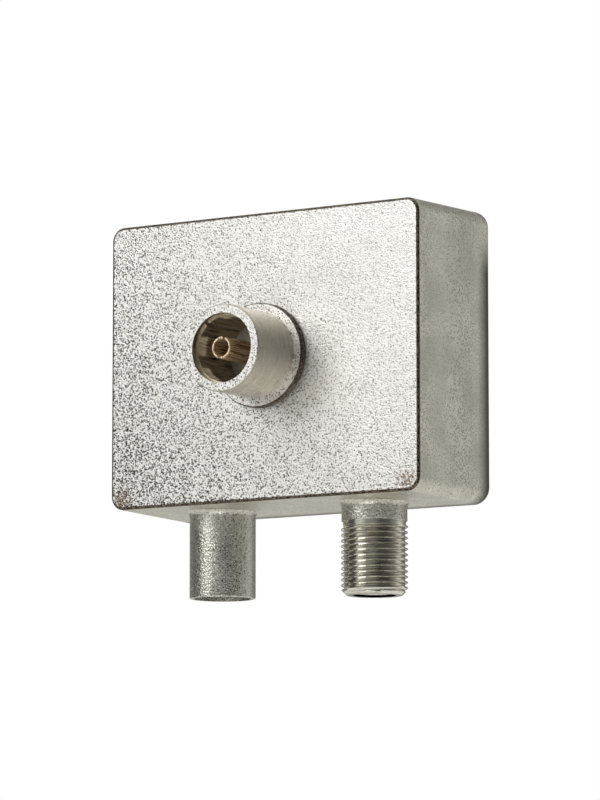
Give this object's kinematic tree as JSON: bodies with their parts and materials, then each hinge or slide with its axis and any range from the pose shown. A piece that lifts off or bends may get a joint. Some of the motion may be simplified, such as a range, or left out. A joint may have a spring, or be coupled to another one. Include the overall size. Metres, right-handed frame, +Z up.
{
  "type": "coaxial splitter",
  "caption": "Coaxial splitter in a die-cast box, with an aerial socket on its face, and a male aerial port and a threaded port below.",
  "frame": {"origin": "on the axis of the input socket, in the plane of the casting's front face", "axes": "-Y points out of the front face along the socket's axis, +X to the right as one looks at the front, +Z up, away from the two ports"},
  "size_m": [0.0534, 0.0298, 0.0554],
  "materials": {
    "cast_nickel": "grainy nickel plating on a zinc casting",
    "cover_sheet": "tinned sheet steel",
    "spring_brass": "nickel-flashed spring brass",
    "contact_brass": "turned brass",
    "pin_nickel": "nickel-plated turned brass",
    "insulator": "natural polyethylene",
    "board": "glass-fibre laminate with solder mask",
    "ferrite": "sintered ferrite",
    "enamelled_wire": "enamelled copper",
    "resistor_lacquer": "lacquered",
    "disc_lacquer": "lacquered ceramic disc",
    "blue_lacquer": "lacquered ceramic disc",
    "solder": "bright tin solder"
  },
  "bodies": {
    "root": {"housing": "cast_nickel", "rear_cover": "cover_sheet", "input_spring_sleeve": "spring_brass", "input_contact": "contact_brass", "input_insulator": "insulator", "tv_pin": "pin_nickel", "tv_insulator": "insulator", "data_contact": "pin_nickel", "data_insulator": "insulator", "circuit_board": "board", "matching_core": "ferrite", "matching_winding": "enamelled_wire", "splitter_core": "ferrite", "splitter_winding": "enamelled_wire", "isolation_resistor": "resistor_lacquer", "input_capacitor": "disc_lacquer", "tv_capacitor": "disc_lacquer", "data_capacitor": "disc_lacquer", "compensation_capacitor": "blue_lacquer", "contact_solder": "solder", "ground_solder": "solder"}
  },
  "joints": []
}
